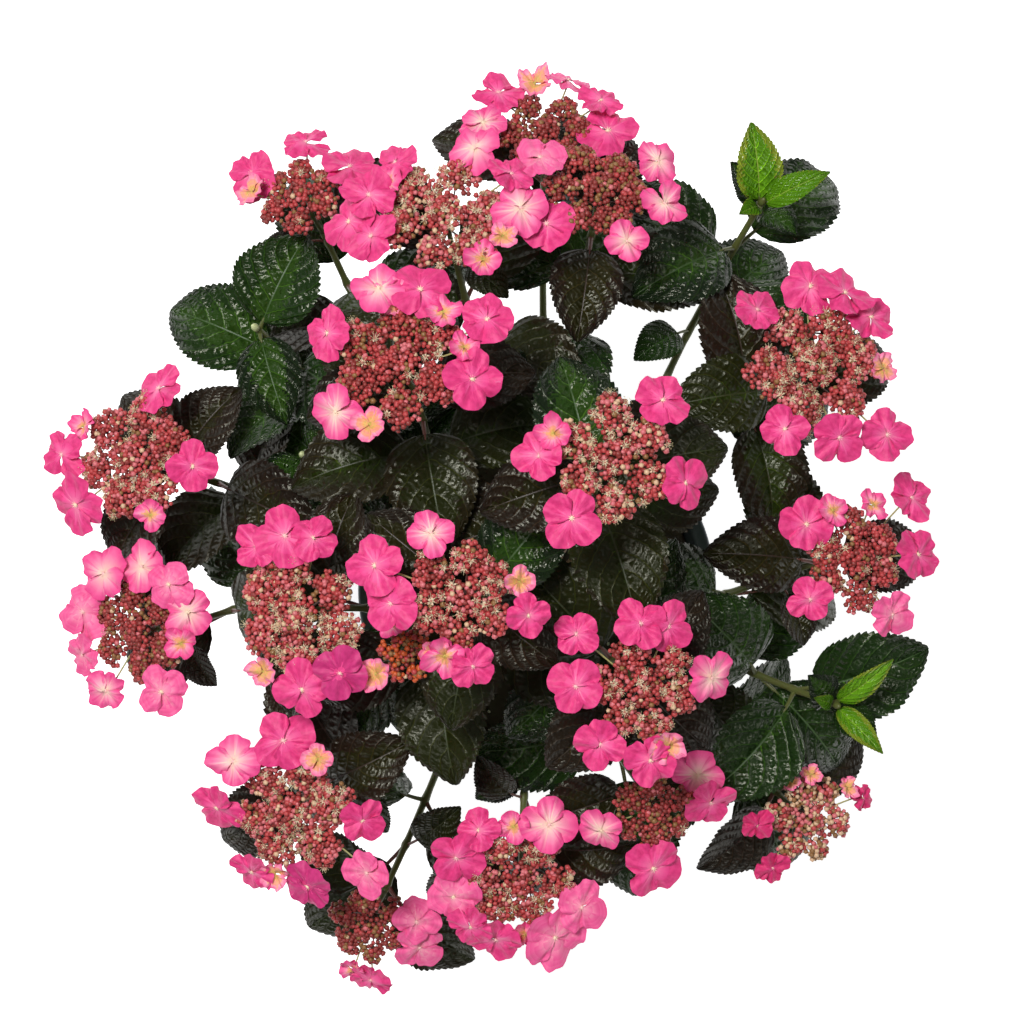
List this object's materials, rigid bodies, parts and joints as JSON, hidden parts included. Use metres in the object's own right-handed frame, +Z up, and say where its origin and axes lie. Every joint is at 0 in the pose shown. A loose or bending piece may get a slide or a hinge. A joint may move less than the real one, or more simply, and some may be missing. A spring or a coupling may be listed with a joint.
{
  "type": "potted hydrangea shrub",
  "caption": "Potted lacecap hydrangea with dark bronze leaves, flat flower heads ringed with pink florets and a plain round nursery pot, free standing on the pot's flat underside.",
  "frame": {"origin": "middle of the pot's flat underside, on the floor", "axes": "+Z up along the pot's axis, +Y towards the top of a view from above, +X to its right"},
  "size_m": [0.5919, 0.6362, 0.5534],
  "materials": {
    "pot": "smooth dark blue-grey moulded plastic with a satin rim",
    "compost": "dark moist potting compost",
    "bark": "buff brown flaking bark",
    "foliage": "glossy puckered leaves from bronze black to deep green, with yellow-green young leaves",
    "blossom": "satin pink petals and coral pink buds with small cream flowers"
  },
  "bodies": {
    "root": {"pot": "pot", "soil": "compost", "stock": "bark", "cane_01": "bark", "cane_02": "bark", "cane_03": "bark", "cane_04": "bark", "cane_05": "bark", "cane_06": "bark", "cane_07": "bark", "cane_08": "bark", "cane_09": "bark", "cane_10": "bark", "cane_11": "bark", "cane_12": "bark", "cane_13": "bark", "cane_14": "bark", "leaves_01": "foliage", "leaves_02": "foliage", "leaves_03": "foliage", "leaves_04": "foliage", "leaves_05": "foliage", "leaves_06": "foliage", "leaves_07": "foliage", "leaves_08": "foliage", "leaves_09": "foliage", "leaves_10": "foliage", "leaves_11": "foliage", "leaves_12": "foliage", "leaves_13": "foliage", "leaves_14": "foliage", "leaves_15": "foliage", "leaves_16": "foliage", "leaves_17": "foliage", "leaves_18": "foliage", "leaves_19": "foliage", "leaves_20": "foliage", "leaves_21": "foliage", "leaves_22": "foliage", "leaves_23": "foliage", "flower_head_01": "blossom", "flower_head_02": "blossom", "flower_head_03": "blossom", "flower_head_04": "blossom", "flower_head_05": "blossom", "flower_head_06": "blossom", "flower_head_07": "blossom", "flower_head_08": "blossom", "flower_head_09": "blossom", "flower_head_10": "blossom", "flower_head_11": "blossom", "flower_head_12": "blossom", "flower_head_13": "blossom", "flower_head_14": "blossom", "flower_head_15": "blossom", "flower_head_16": "blossom", "flower_head_17": "blossom", "flower_head_18": "blossom", "flower_head_19": "blossom"}
  },
  "joints": []
}
